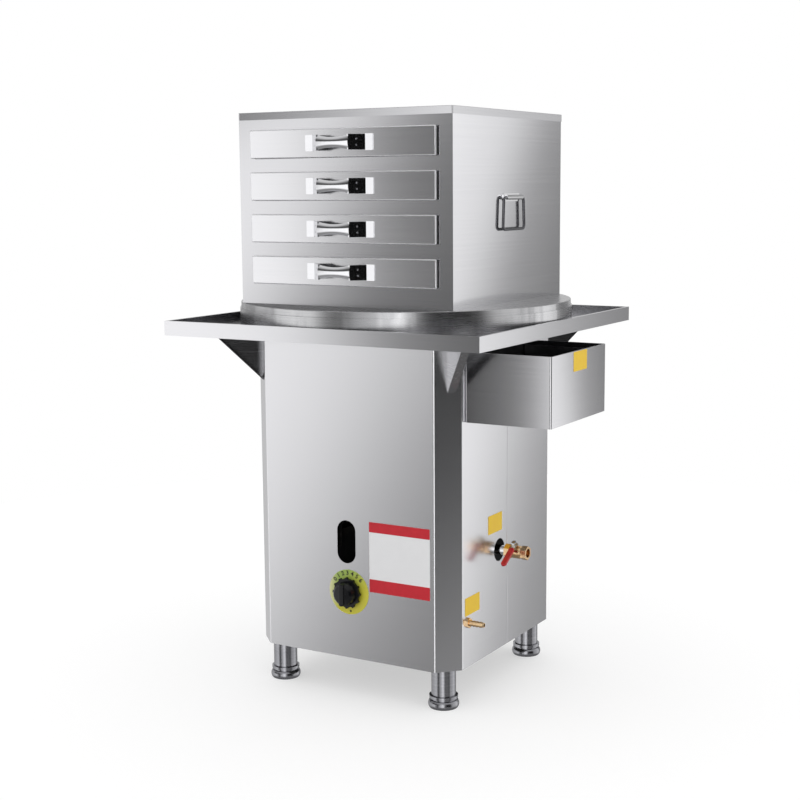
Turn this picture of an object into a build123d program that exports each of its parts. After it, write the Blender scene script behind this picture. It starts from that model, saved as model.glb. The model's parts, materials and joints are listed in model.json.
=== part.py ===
from build123d import *
import os
from math import sqrt

os.makedirs("parts", exist_ok=True)

# Rice noodle roll steamer, in millimetres: a square steam box with four drawers, on a round
# cover and collar, on a tray-edged table over a gas-fired cabinet that holds the water pot.
# +Z is up, the drawers face -Y, and the filling box for water hangs on the +X side.

# ---- sheet metal
sheet = 1.5                 # casings, table, collar and cover
thin_sheet = 1.2            # drawers, liner and shroud
heavy_sheet = 2.0           # base frame and brackets
bend = 3.0                  # outside radius of a fold
casing_bend = 5.0           # outside radius of the cabinet's upright folds
seam_bend = 1.3             # outside radius where a casing turns in at its seam
seam_gap = 0.6              # between the front and rear casings
running_gap = 0.3           # radial, between round pieces that move

# ---- levels and plan of the stand
leg_height = 85.0           # floor to the cabinet's underside
cabinet_height = 675.5
cabinet_size = 484.0
cabinet_chamfer = 41.0
seam_flange = 11.0
table_size = 728.0
rim_height = 18.0           # tray floor to the rim's top
rim_width = 6.0
apron_height = 30.0
apron_return = 12.0

# ---- legs and feet
leg_diameter = 50.8
leg_inset = 47.0            # cabinet side to leg axis
leg_wall = 1.5
foot_height = 26.0
foot_base_radius = 29.0
foot_bulge_radius = 32.0
foot_ring_radius = 29.5
foot_groove_radius = 26.0
foot_pad_height = 16.0
foot_groove_height = 4.0
foot_plug_height = 30.0
leg_cap = 4.0
bolt_radius = 6.0
bolt_clearance = 0.5
bolt_head_width = 18.0
bolt_head_height = 7.5
bolt_nut_height = 10.0

# ---- base frame
base_edge = 20.0
air_opening = 250.0
air_edge = 8.0

# ---- collar and cover
collar_gap = 5.0            # rim to collar
collar_height = 38.0
collar_foot = 18.0
collar_lip = 10.0
cover_step = 2.5            # cover edge inside the collar's face
cover_height = 13.0
skirt_gap = 2.0
skirt_depth = 31.0
locating_gap = 1.5          # cover's upstand inside the liner
locating_height = 15.0
locating_radius = 8.0

# ---- steam box
box_size = 496.0
box_height = 387.0
insulation_gap = 29.3
lid_sheet = 1.0
lid_band = 15.0
liner_roof_drop = 17.0      # lid to liner roof
front_return = 15.0
opening_return = 10.0

# ---- drawers
drawer_count = 4
drawer_margin = 32.0        # box side to drawer front
drawer_height = 57.0
drawer_proud = 9.0          # frame to drawer face, the seal's share of it showing
drawer_fold = 3.2           # depth of the front panel's edge
drawer_edge = 2.2           # outside radius of that edge
drawer_corner = 3.0
lowest_drawer = 70.0        # box bottom to the lowest drawer's centre
highest_drawer = 64.0       # box top to the highest drawer's centre
opening_lap = 10.0
opening_lap_height = 5.5
pan_side_gap = 2.0
pan_flange = 12.0
pan_depth = 32.0
pan_above_centre = 14.0
pan_back_gap = 14.0
pan_corner = 10.0
pan_base_radius = 5.0
runner_gap = 4.0
runner_drop = 15.0
runner_start = 12.0         # behind the front plate
runner_end_gap = 6.0
seal_width = 7.0

# ---- drawer handles
handle_length = 157.0
handle_height = 32.0
handle_flange = 18.0
handle_flange_thickness = 2.0
handle_reach = 28.0
handle_grip_half = 37.0
handle_waist_half = 10.0
handle_end_half = 15.0
handle_crown = 5.0
handle_strap = 3.0
handle_root = 2.0           # the leg's thickness where it meets the grip
handle_corner = 1.5
handle_hole_radius = 1.6
handle_hole_spacing = 12.0
grip_stations = 5
grip_thinning = 0.2         # share of the crown lost at the waist

# ---- lifting bails
bail_rod_radius = 3.0
knuckle_length = 72.0
knuckle_radius = 5.0
knuckle_height = 213.0      # box bottom to bail hinge
bail_top_half = 45.0
bail_bottom_half = 49.0
bail_drop = 64.0
bail_corner = 8.0
bail_engagement = 16.0
bail_leaf = 2.0
bail_leaf_height = 16.0

# ---- water pot, burner and shroud
shroud_clearance = 13.3
flue_gap = 11.0
pot_depth = 332.0
pot_corner = 28.0
pot_flange = 20.0
pot_hole_gap = 1.0
flame_gap = 80.0            # burner top to pot
burner_height = 35.0
burner_lug = 6.0
burner_crown = 5.0          # bevel round the rings' tops
burner_outer = 105.0
burner_channel = 25.0
burner_hub = 42.0
port_count = 24
port_radius = 2.5
shroud_height = 245.0
stand_spacing = 240.0
stand_angle = 25.0
stand_thickness = 3.0
mixer_drop = 26.0
mixer_reach = 150.0
bell_radius = 22.0
throat_radius = 13.0
diffuser_radius = 17.0
mixer_wall = 3.0
throat_length = 35.0
bell_length = 22.0

# ---- gas line and control
knob_height = 140.0         # cabinet underside to knob axis
dial_radius = 47.0
dial_thickness = 1.0
knob_radius = 33.0
knob_rim = 6.0
knob_depth = 27.0
knob_dome_radius = 24.5
knob_dome_height = 25.0
knob_shoulder = 19.5        # height at which the dome starts to turn in
knob_step = 2.0
dome_turn = 4.0
ridge_width = 12.0
ridge_length = 46.5
ridge_corner = 5.0
ridge_edge = 2.5
knob_lobes = 12
lobe_radius = 3.2
push_travel = 4.0
push_gap = 1.0
spindle_radius = 4.0
spindle_flat = 1.6          # depth of the flat
knob_fit = 0.05             # radial, knob on spindle
plunger_radius = 7.0
plunger_length = 12.0
valve_nose_radius = 9.0
valve_nose_length = 17.0
valve_radius = 16.0
valve_length = 36.0
valve_stub = 24.0
gas_tube_radius = 5.0
gas_tube_bore = 3.5
gas_bend = 15.0
jet_length = 12.0
jet_shoulder = 6.0
jet_tip = 3.0
jet_bore = 1.0
control_plate_width = 36.0
control_plate_height = 27.0
inlet_height = 93.0         # cabinet underside to gas inlet
inlet_from_front = 64.0
inlet_reach = 37.0
inlet_radius = 6.5
inlet_bore = 3.5
inlet_nut = 5.0
inlet_nut_rim = 3.0
inlet_neck = 4.9
inlet_plain = 2.0           # shank between the nut and the first barb
inlet_tip = 2.0
barb_count = 4
pipe_from_panel = 15.0      # side panel to the gas pipe's end
pipe_turn_x = 74.0
window_width = 44.0
window_height = 90.0
window_offset = 5.0         # to the left of the middle
window_above_stand = 15.0

# ---- drain
drain_below_stand = 17.0
drain_offset = 37.0         # in front of the middle
drain_drop_reach = 150.0    # pot axis to the falling pipe
pipe_radius = 10.65
pipe_bore = 8.0
pipe_bend = 20.0
drain_hole_radius = 24.0
pipe_past_panel = 16.0
valve_body_length = 50.0
valve_ball_place = 24.0     # along the body from its inlet end
valve_barrel_radius = 13.5
valve_barrel_step = 2.0
valve_barrel_length = 18.0
valve_barrel_slope = 3.5
valve_hex = 26.0
valve_hex_length = 12.0
mouth_radius = 9.3
mouth_depth = 12.0
ball_radius = 11.0
ball_bore = 8.0
stem_radius = 3.5
stem_tilt = 30.0            # degrees, towards the front
bonnet_radius = 7.5
bonnet_height = 19.0
lever_length = 57.0
lever_width = 11.0
lever_thickness = 2.2
lever_nut_height = 6.0
lever_nut_width = 11.0
lever_nut_edge = 0.8
lever_fit = 0.05            # radial, lever and nut on the stem
lever_eye = 1.5             # eye's radius beyond half the lever
lever_taper = 2.0           # blade narrower than the eye's flats
sleeve_length = 40.0
sleeve_skin = 1.4
sleeve_edge = 1.1

# ---- water filling box
tank_reach = 186.0
tank_front = 190.0
tank_back = 76.0
tank_height = 139.0
tank_below_table = 22.0     # apron's lower edge to tank's rim
tank_hem = 10.0
tank_corner = 4.0
feed_offset = 57.0
feed_below_rim = 113.0
feed_radius = 8.0
feed_bore = 6.5
feed_into_pot = 12.0
feed_nut = 4.0
feed_nut_rim = 3.0

# ---- brackets under the table and flue slots at the rear
bracket_reach = 112.0
bracket_drop = 110.0
bracket_flange = 16.0
slot_rows = 5
slot_columns = 2
slot_length = 110.0
slot_height = 8.0
slot_pitch = 18.0
slot_spacing = 150.0
slots_below_table = 60.0
louvre_out = 6.0

# ---- worked out
cabinet_half = cabinet_size / 2
cabinet_inside = cabinet_half - sheet
inner_chamfer = cabinet_chamfer - sheet * (2 - sqrt(2))
table_half = table_size / 2
box_half = box_size / 2
table_under = leg_height + cabinet_height
table_floor = table_under + sheet
rim_top = table_floor + rim_height
apron_bottom = rim_top - apron_height
collar_top = table_floor + collar_height
cover_top = collar_top + cover_height
box_top = cover_top + box_height
collar_radius = table_half - rim_width - collar_gap
cover_radius = collar_radius - cover_step
skirt_radius = collar_radius - collar_lip - skirt_gap
liner_inside = box_half - sheet - insulation_gap - thin_sheet
liner_outside = liner_inside + thin_sheet
liner_roof = box_top - liner_roof_drop
locating_half = liner_inside - locating_gap

shroud_outside = cabinet_inside - shroud_clearance
shroud_inside = shroud_outside - thin_sheet
pot_radius = shroud_inside - flue_gap
pot_bottom = table_floor - pot_depth
burner_top = pot_bottom - flame_gap
stand_top = burner_top - burner_height
mixer_level = stand_top - mixer_drop
window_level = stand_top + window_above_stand
drain_level = stand_top - drain_below_stand
knob_level = leg_height + knob_height
inlet_level = leg_height + inlet_height
inlet_y = -(cabinet_half - inlet_from_front)
leg_place = cabinet_half - leg_inset
leg_bore = leg_diameter / 2 - leg_wall

drawer_width = box_size - 2 * drawer_margin
drawer_pitch = (box_height - lowest_drawer - highest_drawer) / (drawer_count - 1)
opening_width = drawer_width - 2 * opening_lap
opening_height = drawer_height - 2 * opening_lap_height
drawer_face = -(box_half + drawer_proud)
panel_back = drawer_face + thin_sheet
pan_width = opening_width - 2 * pan_side_gap - 2 * pan_flange
pan_back = liner_inside - pan_back_gap - pan_flange
tank_top = apron_bottom - tank_below_table
tank_bottom = tank_top - tank_height
tank_outside = cabinet_half + tank_reach
feed_level = tank_top - feed_below_rim
valve_back_y = -cabinet_inside + valve_nose_length + valve_length
valve_middle_y = valve_back_y - valve_length / 2
nose_front_y = -(cabinet_half + dial_thickness)
knob_back_y = nose_front_y - push_travel - push_gap
plunger_back_y = nose_front_y + push_gap + plunger_length
spindle_back_y = plunger_back_y + plunger_length / 2
valve_start_x = cabinet_half + pipe_past_panel
valve_end_x = valve_start_x + valve_body_length
ball_x = valve_start_x + valve_ball_place
bail_x = box_half + bail_leaf + knuckle_radius
bail_level = cover_top + knuckle_height
drawer_numbers = range(1, drawer_count + 1)
axis_x = (table_half - tank_outside) / 2    # steamer's own axis, from the origin under its middle

written = {}


def save(name, shape):
    """Write one node, moved so that the origin lies under the middle of the whole object."""
    placed = Pos(axis_x, 0, 0) * shape
    written[name] = placed
    export_step(placed, f"parts/{name}.step")


def front_plane(y):
    """Sketches are (x, z), seen from the front."""
    return Plane(origin=(0, y, 0), x_dir=(1, 0, 0), z_dir=(0, -1, 0))


def right_plane(x):
    """Sketches are (y, z), seen from the right."""
    return Plane(origin=(x, 0, 0), x_dir=(0, 1, 0), z_dir=(1, 0, 0))


def bar(start, end, radius):
    """Round bar between two points."""
    start, end = Vector(*start), Vector(*end)
    return extrude(Plane(origin=start, z_dir=end - start) * Circle(radius), (end - start).length)


def bent_tube(points, corner, radius, bore=0):
    """Round rod or tube along straight runs with bends of one radius."""
    path = FilletPolyline(*points, radius=corner)
    section = Circle(radius) - Circle(bore) if bore else Circle(radius)
    return sweep(Plane(origin=path @ 0, z_dir=path % 0) * section, path=path)


def turned(points, axis=Axis.Z):
    """Solid of revolution from (radius, height) points."""
    return revolve(Plane.XZ * make_face(Polyline(*points, close=True)), axis)


def along_y(shape, x, y, z):
    """Put a solid that is drawn up +Z so that it runs towards -Y from the given point."""
    return Pos(x, y, z) * Rot(90, 0, 0) * shape


def along_x(shape, x, y, z):
    """Put a solid that is drawn up +Z so that it runs towards +X from the given point."""
    return Pos(x, y, z) * Rot(0, 90, 0) * shape


def octagon(half, chamfer, radius):
    """Square with chamfered corners, folded to one radius."""
    side = half - chamfer
    corners = [
        (half, -side), (half, side), (side, half), (-side, half),
        (-half, side), (-half, -side), (-side, -half), (side, -half),
    ]
    return make_face(FilletPolyline(*corners, radius=radius, close=True))


def rounded_ring(width, depth, wall, radius):
    return RectangleRounded(width, depth, radius) - RectangleRounded(
        width - 2 * wall, depth - 2 * wall, max(radius - wall, wall / 4)
    )


# ---------------------------------------------------------------- table


def rim_section():
    """Folded edge of the table: floor, inner wall, top, apron and its return."""
    inside = table_half - rim_width
    return make_face(Polyline(
        (cabinet_half, table_floor), (inside, table_floor), (inside, rim_top), (table_half, rim_top),
        (table_half, apron_bottom), (table_half - apron_return, apron_bottom),
        (table_half - apron_return, apron_bottom + sheet), (table_half - sheet, apron_bottom + sheet),
        (table_half - sheet, rim_top - sheet), (inside + sheet, rim_top - sheet),
        (inside + sheet, table_under), (cabinet_half, table_under), close=True,
    ))


def make_table_top():
    middle_of_side = (table_half, 0)
    square = Polyline(
        middle_of_side, (table_half, table_half), (-table_half, table_half),
        (-table_half, -table_half), (table_half, -table_half), middle_of_side,
    )
    rim = sweep(Plane.XZ * rim_section(), path=square, transition=Transition.RIGHT)
    floor = Pos(0, 0, table_under) * extrude(
        Rectangle(cabinet_size, cabinet_size) - Circle(pot_radius + pot_hole_gap), sheet
    )
    return rim + floor


def make_brackets():
    """Triangular gussets from the cabinet's chamfers to the table, with one folded edge."""
    root = (cabinet_half - cabinet_chamfer / 2) * sqrt(2)
    tip = root + bracket_reach
    low = table_under - bracket_drop
    web = make_face(Polyline(
        (root, low), (tip, table_under), (root, table_under), close=True
    ))
    gusset = extrude(Plane.XZ * web, heavy_sheet / 2, both=True)
    slope = Vector(bracket_reach, 0, bracket_drop).normalized()
    across = Vector(-slope.Z, 0, slope.X)
    fold_plane = Plane(origin=(root, 0, low), x_dir=slope, z_dir=across)
    length = sqrt(bracket_reach ** 2 + bracket_drop ** 2)
    fold = extrude(
        fold_plane * Pos(length / 2, bracket_flange / 2) * Rectangle(length, bracket_flange), heavy_sheet
    )
    under = Pos(root + bracket_reach, 0, low + bracket_drop / 2) * Box(
        2 * bracket_reach, 4 * bracket_flange, bracket_drop
    )
    gusset = gusset + (fold & under)
    return [Rot(0, 0, 45 + 90 * turn) * gusset for turn in range(4)]


# ---------------------------------------------------------------- cabinet


def casing_half(front):
    """One folded half of the cabinet's wall, with a flange turned in at each side seam."""
    wall = octagon(cabinet_half, cabinet_chamfer, casing_bend) - octagon(
        cabinet_inside, inner_chamfer, casing_bend - sheet
    )
    depth = cabinet_half - seam_gap / 2
    side = -1 if front else 1
    wall = wall & (Pos(0, side * (seam_gap + depth) / 2) * Rectangle(cabinet_size, depth))
    casing = extrude(wall, cabinet_height)
    flange_x = cabinet_half - seam_flange / 2
    flange_y = side * (seam_gap + sheet) / 2
    for x in (flange_x, -flange_x):
        flange = Pos(x, flange_y) * Rectangle(seam_flange, sheet)
        casing += Pos(0, 0, base_edge) * extrude(flange, cabinet_height - base_edge)
    seam_y = side * seam_gap / 2
    turned_in = [
        edge for edge in casing.edges().filter_by(Axis.Z)
        if abs(abs(edge.center().X) - cabinet_half) < seam_gap / 4
        and abs(edge.center().Y - seam_y) < seam_gap / 4
    ]
    return Pos(0, 0, leg_height) * fillet(turned_in, seam_bend)


def make_front_casing():
    casing = casing_half(front=True)
    panel = front_plane(-cabinet_half)
    cut = -2 * sheet
    window = Pos(-window_offset, window_level) * SlotOverall(window_height, window_width, rotation=90)
    casing -= extrude(panel * window, cut)
    casing -= extrude(panel * (Pos(0, knob_level) * Circle(valve_nose_radius + running_gap)), cut)
    side = right_plane(cabinet_half)
    casing -= extrude(side * (Pos(-drain_offset, drain_level) * Circle(drain_hole_radius)), cut)
    casing -= extrude(side * (Pos(inlet_y, inlet_level) * Circle(inlet_radius + running_gap)), cut)
    casing -= extrude(side * (Pos(-feed_offset, feed_level) * Circle(feed_radius + running_gap)), cut)
    return casing


def louvre_section(reach, height):
    """Hood of a louvre, seen from its end: (outwards, up)."""
    return make_face(
        Line((0, 0), (0, height))
        + ThreePointArc((0, height), (reach * 0.75, height * 0.6), (reach, 0))
        + Line((reach, 0), (0, 0))
    )


def make_rear_casing():
    """Rear half, with two columns of louvres that let the burnt gas out near the top."""
    casing = casing_half(front=False)
    back = Plane(origin=(0, cabinet_half, 0), x_dir=(-1, 0, 0), z_dir=(0, 1, 0))
    end_plane = Plane(origin=(0, cabinet_half, 0), x_dir=(0, 1, 0), z_dir=(1, 0, 0))
    hood = extrude(end_plane * louvre_section(louvre_out, slot_height), slot_length)
    hollow = extrude(
        end_plane * louvre_section(louvre_out - thin_sheet, slot_height - thin_sheet),
        slot_length - 2 * thin_sheet,
    )
    hood -= Pos(thin_sheet, 0, 0) * hollow
    slot = Rectangle(slot_length - 2 * thin_sheet, slot_height - thin_sheet)
    for column in range(slot_columns):
        x = (column - (slot_columns - 1) / 2) * slot_spacing
        for row in range(slot_rows):
            z = table_under - slots_below_table - row * slot_pitch
            slot_middle = z + (slot_height - thin_sheet) / 2
            casing += Pos(x - slot_length / 2, 0, z) * hood
            casing -= extrude(back * (Pos(x, slot_middle) * slot), -2 * sheet)
    return casing


def make_base_frame():
    """Floor of the cabinet: edges turned up all round and round the air opening."""
    outline = octagon(cabinet_inside, inner_chamfer, casing_bend)
    inset = cabinet_inside - heavy_sheet
    inset_chamfer = inner_chamfer - heavy_sheet * (2 - sqrt(2))
    inner = octagon(inset, inset_chamfer, casing_bend - heavy_sheet)
    hole = RectangleRounded(air_opening, air_opening, 2 * bend)
    hole_edge = RectangleRounded(air_opening + 2 * heavy_sheet, air_opening + 2 * heavy_sheet, 3 * bend)
    plate = extrude(outline - hole, heavy_sheet)
    plate += extrude(outline - inner, base_edge)
    plate += extrude(hole_edge - hole, air_edge)
    for x, y in leg_points():
        plate -= Pos(x, y) * extrude(Circle(bolt_radius + bolt_clearance), 2 * heavy_sheet, both=True)
    return Pos(0, 0, leg_height) * plate


def leg_points():
    return [(x, y) for x in (-leg_place, leg_place) for y in (-leg_place, leg_place)]


def make_leg_tubes():
    outside = leg_diameter / 2
    cap_hole = bolt_radius + bolt_clearance
    tube = turned([
        (leg_bore, foot_height), (outside, foot_height), (outside, leg_height),
        (cap_hole, leg_height), (cap_hole, leg_height - leg_cap), (leg_bore, leg_height - leg_cap),
    ])
    return [Pos(x, y) * tube for x, y in leg_points()]


def make_leg_bolts():
    hexagon = RegularPolygon(bolt_head_width / 2, 6, major_radius=False)
    head_level = leg_height + heavy_sheet
    nut_top = leg_height - leg_cap
    head = Pos(0, 0, head_level) * extrude(hexagon, bolt_head_height)
    head = chamfer(head.faces().sort_by(Axis.Z)[-1].edges(), 1)
    shank_length = heavy_sheet + leg_cap + bolt_nut_height + bolt_radius / 2
    bolt = head + Pos(0, 0, head_level - shank_length) * extrude(Circle(bolt_radius), shank_length)
    nut = Pos(0, 0, nut_top - bolt_nut_height) * extrude(
        hexagon - Circle(bolt_radius + running_gap / 2), bolt_nut_height
    )
    return [Pos(x, y) * piece for x, y in leg_points() for piece in (bolt, nut)]


def make_foot():
    """Levelling foot: bulged pad, groove and ring, with a plug that slides in the leg."""
    groove_top = foot_pad_height + foot_groove_height
    profile = (
        Line((0, 0), (foot_base_radius, 0))
        + ThreePointArc(
            (foot_base_radius, 0), (foot_bulge_radius, foot_pad_height / 2),
            (foot_base_radius, foot_pad_height),
        )
        + Polyline(
            (foot_base_radius, foot_pad_height), (foot_groove_radius, foot_pad_height),
            (foot_groove_radius, groove_top), (foot_ring_radius, groove_top),
            (foot_ring_radius, foot_height), (leg_bore - running_gap, foot_height),
            (leg_bore - running_gap, foot_height + foot_plug_height),
            (0, foot_height + foot_plug_height), (0, 0),
        )
    )
    return revolve(Plane.XZ * make_face(profile), Axis.Z)


# ---------------------------------------------------------------- pot, collar and cover


def make_pot():
    """Drawn boiling pot, hung by its flange in the table's hole."""
    inside = pot_radius - sheet
    flange_top = table_floor + sheet
    outer_corner = Vector(pot_radius - pot_corner, pot_bottom + pot_corner)
    inner_corner = pot_corner - sheet
    diagonal = sqrt(0.5)
    profile = (
        Line((0, pot_bottom), (outer_corner.X, pot_bottom))
        + ThreePointArc(
            (outer_corner.X, pot_bottom),
            (outer_corner.X + pot_corner * diagonal, outer_corner.Y - pot_corner * diagonal),
            (pot_radius, outer_corner.Y),
        )
        + Polyline(
            (pot_radius, outer_corner.Y), (pot_radius, table_floor),
            (pot_radius + pot_flange, table_floor), (pot_radius + pot_flange, flange_top),
            (inside, flange_top), (inside, outer_corner.Y),
        )
        + ThreePointArc(
            (inside, outer_corner.Y),
            (outer_corner.X + inner_corner * diagonal, outer_corner.Y - inner_corner * diagonal),
            (outer_corner.X, pot_bottom + sheet),
        )
        + Polyline((outer_corner.X, pot_bottom + sheet), (0, pot_bottom + sheet), (0, pot_bottom))
    )
    pot = revolve(Plane.XZ * make_face(profile), Axis.Z)
    pot -= bar((0, -feed_offset, feed_level), (2 * pot_radius, -feed_offset, feed_level),
               feed_radius + running_gap)
    drain = (drain_drop_reach, -drain_offset, pot_bottom)
    pot -= Pos(*drain) * extrude(Circle(pipe_bore), 2 * sheet, both=True)
    return pot


def make_collar():
    """Ring of C section that carries the cover above the tray."""
    wall = collar_radius - sheet
    return turned([
        (collar_radius - collar_foot, table_floor), (collar_radius, table_floor),
        (collar_radius, collar_top), (collar_radius - collar_lip, collar_top),
        (collar_radius - collar_lip, collar_top - sheet), (wall, collar_top - sheet),
        (wall, table_floor + sheet), (collar_radius - collar_foot, table_floor + sheet),
    ])


def make_cover():
    """Round cover: turned-down edge, skirt inside the collar, square opening with an upstand."""
    plate_under = cover_top - sheet
    hole = 2 * (locating_half - sheet)
    skirt_bottom = cover_top - skirt_depth
    disc = turned([
        (0, plate_under), (skirt_radius - sheet, plate_under), (skirt_radius - sheet, skirt_bottom),
        (skirt_radius, skirt_bottom), (skirt_radius, plate_under),
        (cover_radius - sheet, plate_under), (cover_radius - sheet, collar_top),
        (cover_radius, collar_top), (cover_radius, cover_top), (0, cover_top),
    ])
    top_edge = disc.edges().filter_by(GeomType.CIRCLE).group_by(Axis.Z)[-1].sort_by(SortBy.RADIUS)[-1]
    disc = fillet(top_edge, sheet * 0.8)
    upstand = Pos(0, 0, plate_under) * extrude(
        rounded_ring(2 * locating_half, 2 * locating_half, sheet, locating_radius),
        locating_height + sheet,
    )
    opening = Pos(0, 0, skirt_bottom) * extrude(
        RectangleRounded(hole, hole, locating_radius - sheet), 2 * skirt_depth
    )
    return (disc + upstand) - opening


# ---------------------------------------------------------------- burner and gas line


def make_shroud():
    """Sheet cylinder that keeps the flame under the pot, with a slot behind the sight window."""
    shroud = Pos(0, 0, stand_top) * extrude(
        Circle(shroud_outside) - Circle(shroud_inside), shroud_height
    )
    window = Pos(-window_offset, window_level) * SlotOverall(window_height, window_width, rotation=90)
    above_stand = Pos(0, 0, stand_top) * extrude(Rectangle(cabinet_size, cabinet_size), shroud_height)
    slot = extrude(front_plane(-cabinet_half) * window, -cabinet_half)
    return shroud - (slot & above_stand)


def make_burner_stand():
    """Two steel angles from the front panel to the rear one."""
    length = 2 * cabinet_inside
    section = make_face(Polyline(
        (-stand_angle / 2, stand_top), (stand_angle / 2, stand_top),
        (stand_angle / 2, stand_top - stand_angle),
        (stand_angle / 2 - stand_thickness, stand_top - stand_angle),
        (stand_angle / 2 - stand_thickness, stand_top - stand_thickness),
        (-stand_angle / 2, stand_top - stand_thickness), close=True,
    ))
    angle = extrude(front_plane(cabinet_inside) * section, length)
    right = Pos(stand_spacing / 2, 0) * angle
    return [right, mirror(right, Plane.YZ)]


def make_burner_head():
    """Cast ring burner: two flame rings on a cross of arms, with lugs that rest on the stand."""
    ring_inner = burner_outer - burner_channel
    half_lug = stand_spacing / 2 + stand_angle / 2 - stand_thickness
    low = stand_top
    arms = Pos(0, 0, low) * extrude(Rectangle(2 * half_lug, burner_channel), burner_lug)
    arms += Pos(0, 0, low) * extrude(Rectangle(burner_channel, 2 * ring_inner + burner_channel), burner_lug)
    ring = turned([
        (ring_inner, low), (burner_outer, low), (burner_outer, burner_top - burner_crown),
        (burner_outer - burner_crown, burner_top), (ring_inner + burner_crown, burner_top),
        (ring_inner, burner_top - burner_crown),
    ])
    hub = turned([
        (0, low), (burner_hub, low), (burner_hub, burner_top - burner_crown),
        (burner_hub - burner_crown, burner_top), (0, burner_top),
    ])
    head = arms + ring + hub
    head -= Pos(0, 0, low) * extrude(Circle(diffuser_radius - mixer_wall / 2), 2 * burner_lug)
    port_depth = burner_height / 2
    slant = Pos(burner_outer - burner_crown / 2, 0, burner_top - burner_crown / 2) * Rot(0, 45, 0)
    ports = PolarLocations(0, port_count)
    drill = slant * Cylinder(port_radius, port_depth)
    return head - [place * drill for place in ports]


def make_mixing_tube():
    """Venturi: bell mouth to the front, throat, diffuser and an upright to the burner."""
    stations = [
        (diffuser_radius, 0), (throat_radius, mixer_reach - bell_length - throat_length),
        (throat_radius, mixer_reach - bell_length), (bell_radius, mixer_reach),
    ]
    end = -diffuser_radius
    outside = [(radius + mixer_wall, reach) for radius, reach in stations]
    body = turned([(0, end - mixer_wall), (diffuser_radius + mixer_wall, end - mixer_wall)]
                  + outside + [(0, mixer_reach)])
    gas_way = turned([(0, end), (diffuser_radius, end)] + stations + [(0, mixer_reach)])
    upright_radius = diffuser_radius + mixer_wall / 2
    upright = extrude(Circle(upright_radius), mixer_drop)
    upright_way = extrude(Circle(upright_radius - mixer_wall), mixer_drop)
    tube = along_y(body, 0, 0, 0) + upright - along_y(gas_way, 0, 0, 0) - upright_way
    return Pos(0, 0, mixer_level) * tube


def make_gas_injector():
    """Brass elbow from the control to a jet that points into the bell mouth."""
    start = knob_level + valve_stub
    jet_y = -(mixer_reach + bell_radius / 2)
    supply_y = valve_middle_y
    elbow = bent_tube(
        [(0, supply_y, start), (0, supply_y, mixer_level), (0, jet_y, mixer_level)],
        gas_bend / 2, gas_tube_radius, gas_tube_bore,
    )
    jet = turned([
        (jet_bore, 0), (jet_shoulder, 0), (jet_shoulder, jet_shoulder), (jet_tip, jet_length),
        (jet_bore, jet_length),
    ])
    jet = Pos(0, jet_y, mixer_level) * Rot(-90, 0, 0) * jet
    return elbow + jet


def make_gas_control():
    """Gas control: nose through the panel, barrel, and stubs for the inlet and the jet's tube."""
    barrel_front = valve_back_y - valve_length
    body = turned([
        (0, 0), (valve_radius, 0), (valve_radius, valve_length), (valve_nose_radius, valve_length),
        (valve_nose_radius, valve_back_y - nose_front_y), (0, valve_back_y - nose_front_y),
    ])
    body = along_y(body, 0, valve_back_y, knob_level)
    stub_radius = gas_tube_radius + sheet
    body += bar((0, valve_middle_y, knob_level), (valve_stub, valve_middle_y, knob_level), stub_radius)
    body += bar((0, valve_middle_y, knob_level), (0, valve_middle_y, knob_level + valve_stub), stub_radius)
    plunger_bore = bar(
        (0, nose_front_y - sheet, knob_level), (0, plunger_back_y + push_travel + push_gap, knob_level),
        plunger_radius + running_gap,
    )
    spindle_bore = bar(
        (0, nose_front_y, knob_level), (0, spindle_back_y + push_travel + push_gap, knob_level),
        spindle_radius + running_gap,
    )
    tie_plate = Pos(0, -cabinet_inside, knob_level) * extrude(
        front_plane(0) * (RectangleRounded(control_plate_width, control_plate_height, bend)
                          - Circle(valve_nose_radius)), -heavy_sheet)
    return body + tie_plate - plunger_bore - spindle_bore


def make_plunger():
    """Sleeve that the knob pushes in against its spring before it can turn."""
    ring = Circle(plunger_radius) - Circle(spindle_radius + running_gap)
    return Pos(0, plunger_back_y, knob_level) * Rot(90, 0, 0) * extrude(ring, plunger_length)


def flatted(radius):
    """Circle with one flat, as far from the axis as the spindle's own plus the circle's clearance."""
    flat = spindle_radius - spindle_flat + (radius - spindle_radius)
    return Circle(radius) & (Pos(0, flat - radius) * Rectangle(2 * radius, 2 * radius))


def make_spindle():
    """Steel spindle with a flat for the knob."""
    length = spindle_back_y - knob_back_y + knob_depth / 2
    return Pos(0, spindle_back_y, knob_level) * Rot(90, 0, 0) * extrude(flatted(spindle_radius), length)


def make_knob():
    """Moulded knob: lobed rim, domed middle and a grip ridge across the face."""
    rim = Circle(knob_radius - lobe_radius)
    rim += PolarLocations(knob_radius - lobe_radius, knob_lobes) * Circle(lobe_radius)
    dome = [
        (0, 0), (knob_dome_radius, 0), (knob_dome_radius, knob_rim + knob_step),
        (knob_dome_radius - knob_step, knob_shoulder),
        (knob_dome_radius - knob_step - dome_turn, knob_shoulder + dome_turn), (0, knob_dome_height),
    ]
    grip = extrude(RectangleRounded(ridge_width, ridge_length, ridge_corner), knob_depth)
    grip = fillet(grip.faces().sort_by(Axis.Z)[-1].edges(), ridge_edge)
    knob = extrude(rim, knob_rim) + turned(dome) + grip
    knob -= extrude(flatted(spindle_radius + knob_fit), knob_depth / 2)
    return Pos(0, knob_back_y, knob_level) * Rot(90, 0, 0) * knob


def make_dial():
    """Round scale plate on the panel, behind the knob."""
    plate = Circle(dial_radius) - Circle(valve_nose_radius + running_gap)
    return Pos(0, -cabinet_half, knob_level) * Rot(90, 0, 0) * extrude(plate, dial_thickness)


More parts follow.
